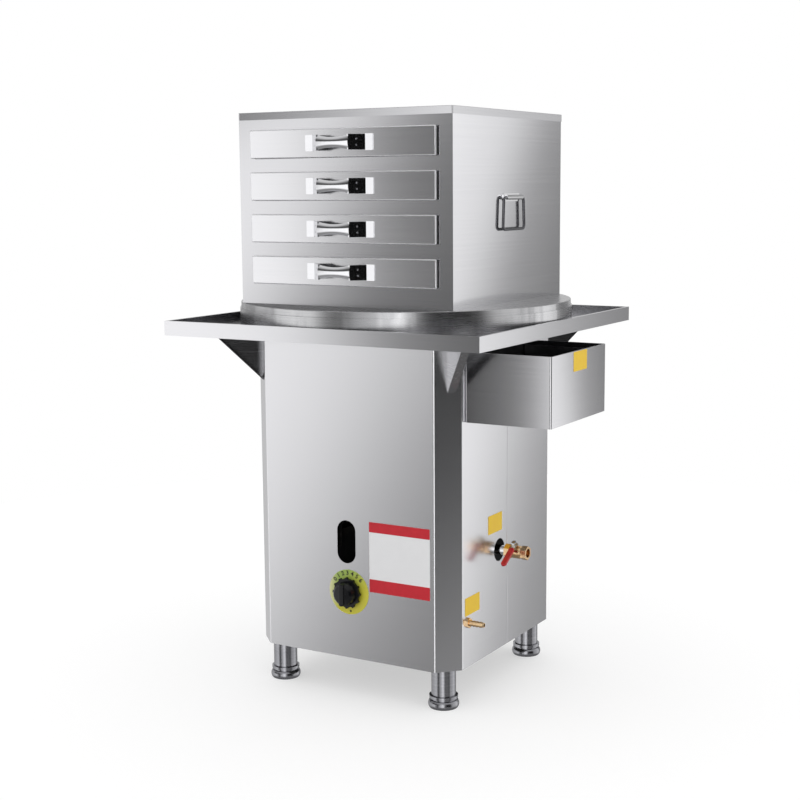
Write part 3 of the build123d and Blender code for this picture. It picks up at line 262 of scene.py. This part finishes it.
# bow is how a sheet panel stands out of true: its middle in metres, then slope, bend and twist
steelLooks = {
    "boxSteel": {
        "light": (0.685, 0.683, 0.70), "dark": (0.65, 0.648, 0.668), "roughness": 0.15, "spread": 0.05,
        "depth": 0.0000008, "along": 3.0, "across": 900.0,
        "bow": {"middle": (-0.032, 0.0, 1.006), "slope": (-0.012, -0.012), "bend": (-0.06, -0.18),
                "twist": (0.12, 0.15)},
    },
    "drawerSteel": {
        "light": (0.745, 0.743, 0.76), "dark": (0.705, 0.703, 0.722), "roughness": 0.17, "spread": 0.05,
        "depth": 0.0000008, "along": 3.0, "across": 900.0,
        "bow": {"middle": (-0.032, 0.0, 1.006), "slope": (-0.012, 0.0), "bend": (-0.13, 0.0)},
        # painted highlight: a pale band along the top, bottom and side edges of each drawer front, for the
        # light the folded edges catch
        "rim": {"middle": (-0.032, 0.883), "step": 0.08433, "half": (0.2135, 0.0262), "soft": 0.0006,
                "colour": (0.93, 0.93, 0.95), "rougher": 0.35},
    },
    "lidSteel": {
        "light": (0.685, 0.683, 0.70), "dark": (0.65, 0.648, 0.668), "roughness": 0.16, "spread": 0.05,
        "depth": 0.0000008, "along": 3.0, "across": 900.0,
        "bow": {"middle": (-0.032, 0.0, 1.19), "slope": (-0.012, 0.0), "bend": (0.26, 0.0)},
    },
    "cabinetSteel": {
        "light": (0.735, 0.733, 0.752), "dark": (0.71, 0.708, 0.728), "roughness": 0.25, "spread": 0.04,
        "depth": 0.0000007, "along": 3.0, "across": 900.0,
        "bow": {"middle": (-0.032, 0.0, 0.42), "slope": (-0.006, -0.016), "bend": (-0.06, -0.19),
                "twist": (0.10, 0.12)},
        # painted shade: the casing's inner faces are darkened inside the cabinet
        "inside": {"low": (-0.2732, -0.2412, 0.08), "high": (0.2092, 0.2412, 0.748), "corner": 0.4388,
                   "colour": (0.11, 0.108, 0.11), "rougher": 0.25},
    },
    "tankSteel": {
        "light": (0.685, 0.683, 0.70), "dark": (0.65, 0.648, 0.668), "roughness": 0.17, "spread": 0.06,
        "depth": 0.0000015, "along": 3.0, "across": 900.0,
        "bow": {"middle": (0.310, -0.057, 0.66), "bend": (0.85, -0.42), "twist": (0.0, -0.10)},
        # painted shade: the inside of the water box is darkened nearly to black
        "inside": {"low": (0.2112, -0.1885, 0.5905), "high": (0.3945, 0.0745, 0.7275),
                   "colour": (0.03, 0.03, 0.032), "rougher": 0.25},
    },
    "tableSteel": {
        "light": (0.685, 0.683, 0.70), "dark": (0.65, 0.648, 0.668), "roughness": 0.18, "spread": 0.06,
        "depth": 0.0000015, "along": 3.0, "across": 900.0,
        "bow": {"middle": (-0.032, 0.0, 0.76), "slope": (-0.004, -0.01), "bend": (-0.11, -0.11)},
    },
    # painted shade: the same steel given a much darker colour for the shade under the table top
    "bracketPaintedShade": {
        "light": (0.34, 0.34, 0.35), "dark": (0.28, 0.28, 0.29), "roughness": 0.26, "spread": 0.08,
        "depth": 0.0000015, "along": 3.0, "across": 600.0,
    },
    "coverSteel": {
        "light": (0.60, 0.60, 0.61), "dark": (0.50, 0.50, 0.51), "roughness": 0.27, "spread": 0.08,
        "depth": 0.000001, "along": 3.0, "across": 500.0,
        # partly random cloudy streaks, partly painted shade: the collar and cover darken towards their left
        # end
        "blotchAndShade": {"scale": 16.0, "upright": 0.12, "from": (-0.37, -0.20), "colour": (0.28, 0.28, 0.29),
                   "edge": (0.42, 0.62), "strength": 0.7, "detail": 4.0, "rough": 0.6},
    },
    "innerSteel": {
        "light": (0.52, 0.52, 0.53), "dark": (0.42, 0.42, 0.43), "roughness": 0.30, "spread": 0.12,
        "depth": 0.000004, "along": 2.0, "across": 300.0,
    },
    "sootedSteel": {
        "light": (0.12, 0.115, 0.11), "dark": (0.05, 0.047, 0.045), "roughness": 0.5, "spread": 0.2,
        "depth": 0.000004, "along": 4.0, "across": 60.0,
    },
    "legSteel": {
        "light": (0.36, 0.36, 0.38), "dark": (0.28, 0.28, 0.30), "roughness": 0.24, "spread": 0.08,
        "depth": 0.000001, "along": 3.0, "across": 500.0,
    },
    "brightSteel": {
        "light": (0.80, 0.80, 0.81), "dark": (0.74, 0.74, 0.75), "roughness": 0.10, "spread": 0.06,
        "depth": 0.0000008, "along": 3.0, "across": 500.0,
    },
    "handleSteel": {
        "light": (0.76, 0.76, 0.78), "dark": (0.72, 0.72, 0.74), "roughness": 0.12, "spread": 0.05,
        "depth": 0.0000006, "along": 3.0, "across": 700.0,
        "bow": {"middle": (-0.032, 0.0, 1.006), "slope": (0.045, 0.0)},
    },
    # painted reflection: the bail rods get a near-black steel colour for the dark reflection they show
    "bailPaintedReflection": {
        "light": (0.16, 0.16, 0.17), "dark": (0.10, 0.10, 0.11), "roughness": 0.20, "spread": 0.06,
        "depth": 0.0000008, "along": 3.0, "across": 500.0,
    },
    "platedSteel": {
        "light": (0.66, 0.64, 0.58), "dark": (0.50, 0.48, 0.42), "roughness": 0.28, "spread": 0.12,
        "depth": 0.000002, "along": 20.0, "across": 200.0,
    },
}


def bowedNormal(graph, axes, upright, bow):
    # the surface's own normal, leaned by the panel's slope at each point
    across, deep, up = (axis - start for axis, start in zip(axes, bow["middle"]))
    slope, bend, twist = bow.get("slope", (0, 0)), bow.get("bend", (0, 0)), bow.get("twist", (0, 0))
    lean = graph.add("ShaderNodeCombineXYZ", None, [
        slope[0] + across * bend[0] + up * twist[0],
        slope[1] + deep * bend[1] + up * twist[1],
        across * twist[0] + deep * twist[1],
    ])
    lean = graph.add("ShaderNodeVectorMath", {"operation": "SCALE"}, {"Vector": lean, "Scale": upright})
    own = graph.add("ShaderNodeTexCoord", output=1)
    leaned = graph.add("ShaderNodeVectorMath", {"operation": "SUBTRACT"}, [own, lean])
    return graph.add("ShaderNodeVectorMath", {"operation": "NORMALIZE"}, [leaned])


def within(graph, axes, space):
    # 1 inside the box from low to high, less what a slanting corner cuts off
    share = 1.0
    for axis, least, most in zip(axes, space["low"], space["high"]):
        above = graph.add("ShaderNodeMath", {"operation": "GREATER_THAN"}, [axis, least])
        below = graph.add("ShaderNodeMath", {"operation": "LESS_THAN"}, [axis, most])
        share = above * below * share
    if "corner" in space:
        aside = abs(axes[0] - (space["low"][0] + space["high"][0]) / 2)
        deep = abs(axes[1] - (space["low"][1] + space["high"][1]) / 2)
        short = graph.add("ShaderNodeMath", {"operation": "LESS_THAN"}, [aside + deep, space["corner"]])
        share = share * short
    return share


def steelFinish(name):
    look = steelLooks[name]
    material, graph = newGraph(name)
    place = graph.add("ShaderNodeTexCoord", output=3)
    facing = graph.parts(graph.add("ShaderNodeTexCoord", output=1))[2]
    x, y, z = graph.parts(place)
    level = graph.ease(abs(facing), *steelGrain["level"])       # 1 on faces that look up or down
    drawn = graph.add("ShaderNodeCombineXYZ", None, [
        x * look["along"],
        y * (look["along"] + level * (look["across"] - look["along"])),
        z * (look["across"] * (1 - level)),
    ])
    grain = graph.noise(drawn, 1.0, steelGrain["detail"], steelGrain["rough"])
    clouds = graph.noise(place, steelGrain["cloudScale"])
    share = grain * steelGrain["share"] + clouds * (1 - steelGrain["share"])
    share = graph.ease(share, *steelGrain["mix"])
    colour = graph.blend(share, look["dark"], look["light"])
    roughness = look["roughness"] + (grain - 0.5) * look["spread"] + (clouds - 0.5) * (0.5 * look["spread"])
    bumped = {"Strength": 1.0, "Distance": 1.0, "Height": grain * look["depth"]}
    if "bow" in look:
        bumped["Normal"] = bowedNormal(graph, (x, y, z), 1 - level, look["bow"])
    # random upright cloudy streaks, plus painted shade that darkens the faces towards the left end
    if "blotchAndShade" in look:
        blotchAndShade = look["blotchAndShade"]
        spots = graph.add("ShaderNodeCombineXYZ", None, [x, y, z * blotchAndShade["upright"]])
        spots = graph.noise(spots, blotchAndShade["scale"], blotchAndShade["detail"], blotchAndShade["rough"])
        darker = graph.ease(spots, *blotchAndShade["edge"]) * (1 - level)
        paintedShadeLeft = 1 - graph.ease(x, *blotchAndShade["from"])
        darker = darker * blotchAndShade["strength"] + paintedShadeLeft * (1 - level)
        darker = graph.add("ShaderNodeMath", {"operation": "MINIMUM"}, [darker, 1.0])
        colour = graph.blend(darker, colour, blotchAndShade["colour"])
    # painted highlight: paler and rougher near each drawer front's edges, standing in for the light caught by
    # the folds
    if "rim" in look:
        rim = look["rim"]
        step = graph.add("ShaderNodeMath", {"operation": "WRAP"},
                         [z - rim["middle"][1], rim["step"] / 2, -rim["step"] / 2])
        beyond = graph.ease(abs(x - rim["middle"][0]), rim["half"][0], rim["half"][0] + rim["soft"])
        edge = beyond + graph.ease(abs(step), rim["half"][1], rim["half"][1] + rim["soft"])
        edge = graph.add("ShaderNodeMath", {"operation": "MINIMUM"}, [edge, 1.0])
        colour = graph.blend(edge, colour, rim["colour"])
        roughness = roughness + edge * rim["rougher"]
    # painted shade: darker colour and rougher where the faces lie inside the cabinet or the water box
    if "inside" in look:
        paintedShade = within(graph, (x, y, z), look["inside"])
        colour = graph.blend(paintedShade, colour, look["inside"]["colour"])
        roughness = roughness + paintedShade * look["inside"]["rougher"]
    bump = graph.add("ShaderNodeBump", None, bumped)
    finishWith(graph, {"Base Color": colour, "Metallic": 1.0, "Roughness": roughness, "Normal": bump})
    return material


mottledLooks = {
    "castIron": {
        "light": (0.10, 0.095, 0.09), "dark": (0.035, 0.033, 0.032), "scale": 90.0, "detail": 6.0,
        "roughness": 0.7, "spread": 0.2, "depth": 0.0006, "metallic": 0.4,
    },
    "darkSteel": {
        "light": (0.14, 0.13, 0.12), "dark": (0.05, 0.045, 0.042), "scale": 40.0, "detail": 5.0,
        "roughness": 0.5, "spread": 0.25, "depth": 0.0001, "metallic": 0.8,
    },
    "brass": {
        "light": (0.86, 0.62, 0.36), "dark": (0.60, 0.36, 0.18), "scale": 60.0, "detail": 3.0,
        "roughness": 0.2, "spread": 0.12, "depth": 0.00003, "metallic": 1.0,
    },
    "copper": {
        "light": (0.80, 0.45, 0.30), "dark": (0.45, 0.22, 0.14), "scale": 50.0, "detail": 3.0,
        "roughness": 0.25, "spread": 0.15, "depth": 0.00003, "metallic": 1.0,
    },
    "knobPlastic": {
        "light": (0.007, 0.007, 0.009), "dark": (0.003, 0.003, 0.004), "scale": 900.0, "detail": 2.0,
        "roughness": 0.24, "spread": 0.10, "depth": 0.00001, "metallic": 0.0, "specular": 0.32,
    },
    "redSleeve": {
        "light": (0.62, 0.02, 0.03), "dark": (0.42, 0.012, 0.02), "scale": 120.0, "detail": 3.0,
        "roughness": 0.32, "spread": 0.1, "depth": 0.00005, "metallic": 0.0,
    },
    "silicone": {
        "light": (0.014, 0.014, 0.015), "dark": (0.007, 0.007, 0.008), "scale": 150.0, "detail": 3.0,
        "roughness": 0.6, "spread": 0.1, "depth": 0.00003, "metallic": 0.0,
    },
    "foam": {
        "light": (0.88, 0.80, 0.55), "dark": (0.68, 0.56, 0.32), "scale": 420.0, "detail": 4.0,
        "roughness": 0.95, "spread": 0.05, "depth": 0.0008, "metallic": 0.0,
    },
    "yellowPaper": {
        "light": (0.98, 0.66, 0.016), "dark": (0.95, 0.60, 0.012), "scale": 60.0, "detail": 2.0,
        "roughness": 0.4, "spread": 0.08, "depth": 0.00001, "metallic": 0.0,
    },
    "whitePaper": {
        "light": (0.93, 0.93, 0.94), "dark": (0.91, 0.91, 0.92), "scale": 60.0, "detail": 2.0,
        "roughness": 0.4, "spread": 0.08, "depth": 0.00001, "metallic": 0.0,
    },
    "redPaper": {
        "light": (0.66, 0.012, 0.028), "dark": (0.58, 0.010, 0.022), "scale": 80.0, "detail": 2.0,
        "roughness": 0.4, "spread": 0.08, "depth": 0.00001, "metallic": 0.0,
    },
    "blackInk": {
        "light": (0.012, 0.014, 0.008), "dark": (0.006, 0.007, 0.004), "scale": 300.0, "detail": 2.0,
        "roughness": 0.45, "spread": 0.08, "depth": 0.000005, "metallic": 0.0,
    },
}


def mottledFinish(name):
    look = mottledLooks[name]
    material, graph = newGraph(name)
    place = graph.add("ShaderNodeTexCoord", output=3)
    speckle = graph.noise(place, look["scale"], look["detail"], 0.6)
    patches = graph.noise(place, look["scale"] / 8.0, 2.0)
    share = graph.ease(speckle * 0.6 + patches * 0.4, 0.3, 0.7)
    colour = graph.blend(share, look["dark"], look["light"])
    roughness = look["roughness"] + (speckle - 0.5) * look["spread"]
    bump = graph.add("ShaderNodeBump", None,
                     {"Strength": 1.0, "Distance": 1.0, "Height": speckle * look["depth"]})
    finishWith(graph, {"Base Color": colour, "Metallic": look["metallic"], "Roughness": roughness,
                       "Normal": bump, "Specular IOR Level": look.get("specular", 0.5)})
    return material


dialLook = {
    "centre": (-0.032, 0.225),
    "radius": 0.047,
    "green": (0.36, 0.50, 0.10),
    "yellow": (0.72, 0.66, 0.06),
    "pale": (0.80, 0.80, 0.42),
}


def dialFinish():
    material, graph = newGraph("dialEnamel")
    x, _, z = graph.parts(graph.add("ShaderNodeTexCoord", output=3))
    across = (x - dialLook["centre"][0]) * (1 / dialLook["radius"])
    up = (z - dialLook["centre"][1]) * (1 / dialLook["radius"])
    fade = graph.ease(up * 0.8 - across * 0.6, -0.6, 0.9)
    colour = graph.blend(fade, dialLook["yellow"], dialLook["green"])
    edge = graph.ease(0.0 - across, 0.5, 1.0)
    colour = graph.blend(edge, colour, dialLook["pale"])
    speckle = graph.noise(graph.add("ShaderNodeTexCoord", output=3), 400.0)
    bump = graph.add("ShaderNodeBump", None,
                     {"Strength": 1.0, "Distance": 1.0, "Height": speckle * 0.00001})
    finishWith(graph, {"Base Color": colour, "Roughness": 0.3 + speckle * 0.1, "Normal": bump})
    return material


finishes = {name: steelFinish(name) for name in steelLooks}
finishes.update({name: mottledFinish(name) for name in mottledLooks})
finishes["dialEnamel"] = dialFinish()
print("finishes mixed:", len(finishes))

wears = {
    "boxSteel": ["box_casing", "box_front"],
    "lidSteel": ["box_lid"],
    "drawerSteel": [f"drawer_{i}_front" for i in range(1, 5)],
    "cabinetSteel": ["front_casing", "rear_casing"],
    "tankSteel": ["water_box"],
    "tableSteel": ["table_top"],
    "bracketPaintedShade": ["table_brackets"],
    "coverSteel": ["pot_collar", "pot_cover"],
    "innerSteel": ["pot", "box_liner", "drawer_runners"] + [f"drawer_{i}_pan" for i in range(1, 5)],
    "sootedSteel": ["flame_shroud", "base_frame"],
    "bailPaintedReflection": ["bail_right", "bail_left"],
    "brightSteel": ["bail_brackets", "drain_pipe", "feed_pipe", "leg_bolts",
                    "lever_nut", "control_spindle"],
    "handleSteel": [f"drawer_{i}_handle" for i in range(1, 5)],
    "legSteel": ["leg_tubes"] + [f"foot_{i}" for i in range(1, 5)],
    "castIron": ["burner_head", "mixing_tube"],
    "darkSteel": ["burner_stand"],
    "brass": ["gas_injector", "gas_control", "gas_inlet", "drain_valve", "drain_ball", "control_plunger"],
    "copper": ["gas_pipe"],
    "knobPlastic": ["knob"],
    "dialEnamel": ["dial_plate"],
    "platedSteel": ["drain_lever"],
    "redSleeve": ["lever_sleeve"],
    "silicone": [f"drawer_{i}_seal" for i in range(1, 5)],
    "foam": ["box_insulation"],
}


def dressNodes():
    for finish, names in wears.items():
        for name in names:
            for slot in nodes[name].material_slots:
                slot.material = finishes[finish]


# ---- stickers and print


def settle(piece, name, finish, body):
    # last steps of every new piece: its place goes into its mesh, and it rides on a body
    bpy.ops.object.select_all(action="DESELECT")
    piece.select_set(True)
    bpy.context.view_layer.objects.active = piece
    bpy.ops.object.transform_apply(location=True, rotation=True, scale=True)
    piece.name = name
    piece.data.name = name
    piece.data.materials.clear()
    piece.data.materials.append(finishes[finish])
    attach(piece, body)


def startPiece():
    if bpy.context.object and bpy.context.object.mode != "OBJECT":
        bpy.ops.object.mode_set(mode="OBJECT")
    bpy.ops.object.select_all(action="DESELECT")


stickers = {
    "thickness": 0.0003,
    "lift": 0.0001,             # off the panel
    "corner": 0.0015,
    "sheets": [
        # front: on the cabinet's front, else on a right side; panel is the face it lies on
        {"name": "frontSheetWhite", "finish": "whitePaper", "front": True, "across": (0.018, 0.159),
         "up": (0.232, 0.378), "panel": -0.242},
        {"name": "tankSticker", "finish": "yellowPaper", "front": False, "across": (-0.087, -0.022),
         "up": (0.688, 0.727), "panel": 0.396},
        {"name": "valveSticker", "finish": "yellowPaper", "front": False, "across": (-0.088, -0.025),
         "up": (0.339, 0.378), "panel": 0.210},
        {"name": "inletSticker", "finish": "yellowPaper", "front": False, "across": (-0.190, -0.127),
         "up": (0.193, 0.230), "panel": 0.210},
        {"name": "frontSheetUpperBand", "finish": "redPaper", "front": True, "across": (0.018, 0.159),
         "up": (0.357, 0.378), "panel": -0.2424},
        {"name": "frontSheetLowerBand", "finish": "redPaper", "front": True, "across": (0.018, 0.159),
         "up": (0.232, 0.259), "panel": -0.2424},
    ],
}


def makeSticker(sheet):
    startPiece()
    bpy.ops.mesh.primitive_cube_add(size=1.0)
    piece = bpy.context.active_object
    width = sheet["across"][1] - sheet["across"][0]
    height = sheet["up"][1] - sheet["up"][0]
    thickness = stickers["thickness"]
    middle = (sum(sheet["across"]) / 2, sum(sheet["up"]) / 2)
    if sheet["front"]:
        piece.scale = (width, thickness, height)
        piece.location = (middle[0], sheet["panel"] - stickers["lift"] - thickness / 2, middle[1])
    else:
        piece.scale = (thickness, width, height)
        piece.location = (sheet["panel"] + stickers["lift"] + thickness / 2, middle[0], middle[1])
    bpy.ops.object.transform_apply(location=True, rotation=True, scale=True)
    thin = 1 if sheet["front"] else 0
    bpy.ops.object.mode_set(mode="EDIT")
    bpy.ops.mesh.select_mode(type="EDGE")
    bpy.ops.mesh.select_all(action="DESELECT")
    shape = bmesh.from_edit_mesh(piece.data)
    for edge in shape.edges:
        run = edge.verts[0].co - edge.verts[1].co
        edge.select_set(abs(run[thin]) > thickness / 2)
    bmesh.update_edit_mesh(piece.data)
    bpy.ops.mesh.bevel(offset=stickers["corner"], segments=3, affect="EDGES")
    bpy.ops.object.mode_set(mode="OBJECT")
    settle(piece, sheet["name"], sheet["finish"], "stand")


dialMarks = {
    "numbers": ["0", "1", "2", "3", "4", "5", "6"],
    "from": 54.0,               # degrees to the left of the top
    "to": -46.0,
    "radius": 0.0400,
    "size": 0.0125,
    "heavier": 0.0004,
    "thickness": 0.0002,
    "face": -0.2431,
    "dotAt": 186.0,
    "dotRadius": 0.0023,
    "dotSides": 24,
}


def onDial(degrees, radius):
    turn = math.radians(degrees)
    return (dialLook["centre"][0] - radius * math.sin(turn), dialMarks["face"],
            dialLook["centre"][1] + radius * math.cos(turn))


def makeNumber(number, degrees):
    startPiece()
    bpy.ops.object.text_add()
    piece = bpy.context.active_object
    piece.data.body = number
    piece.data.align_x = "CENTER"
    piece.data.align_y = "CENTER"
    piece.data.size = dialMarks["size"]
    piece.data.extrude = dialMarks["thickness"] / 2
    piece.data.offset = dialMarks["heavier"]
    bpy.ops.object.convert(target="MESH")
    piece = bpy.context.active_object
    piece.rotation_euler = (math.radians(90), math.radians(-degrees), 0)
    piece.location = onDial(degrees, dialMarks["radius"])
    settle(piece, "dialNumber" + number, "blackInk", "stand")


def makeDot():
    startPiece()
    bpy.ops.mesh.primitive_cylinder_add(vertices=dialMarks["dotSides"], radius=dialMarks["dotRadius"],
                                        depth=dialMarks["thickness"])
    piece = bpy.context.active_object
    piece.rotation_euler = (math.radians(90), 0, 0)
    piece.location = onDial(dialMarks["dotAt"], dialMarks["radius"])
    settle(piece, "dialDot", "blackInk", "stand")


bpy.context.scene.view_settings.view_transform = "Standard"
placeCamera()
buildStudio()
layFloor()
dressNodes()
print("nodes dressed")
for sheet in stickers["sheets"]:
    makeSticker(sheet)
print("stickers laid on:", len(stickers["sheets"]))
steps = len(dialMarks["numbers"]) - 1
for index, number in enumerate(dialMarks["numbers"]):
    makeNumber(number, dialMarks["from"] + (dialMarks["to"] - dialMarks["from"]) * index / steps)
makeDot()
print("dial numbered")
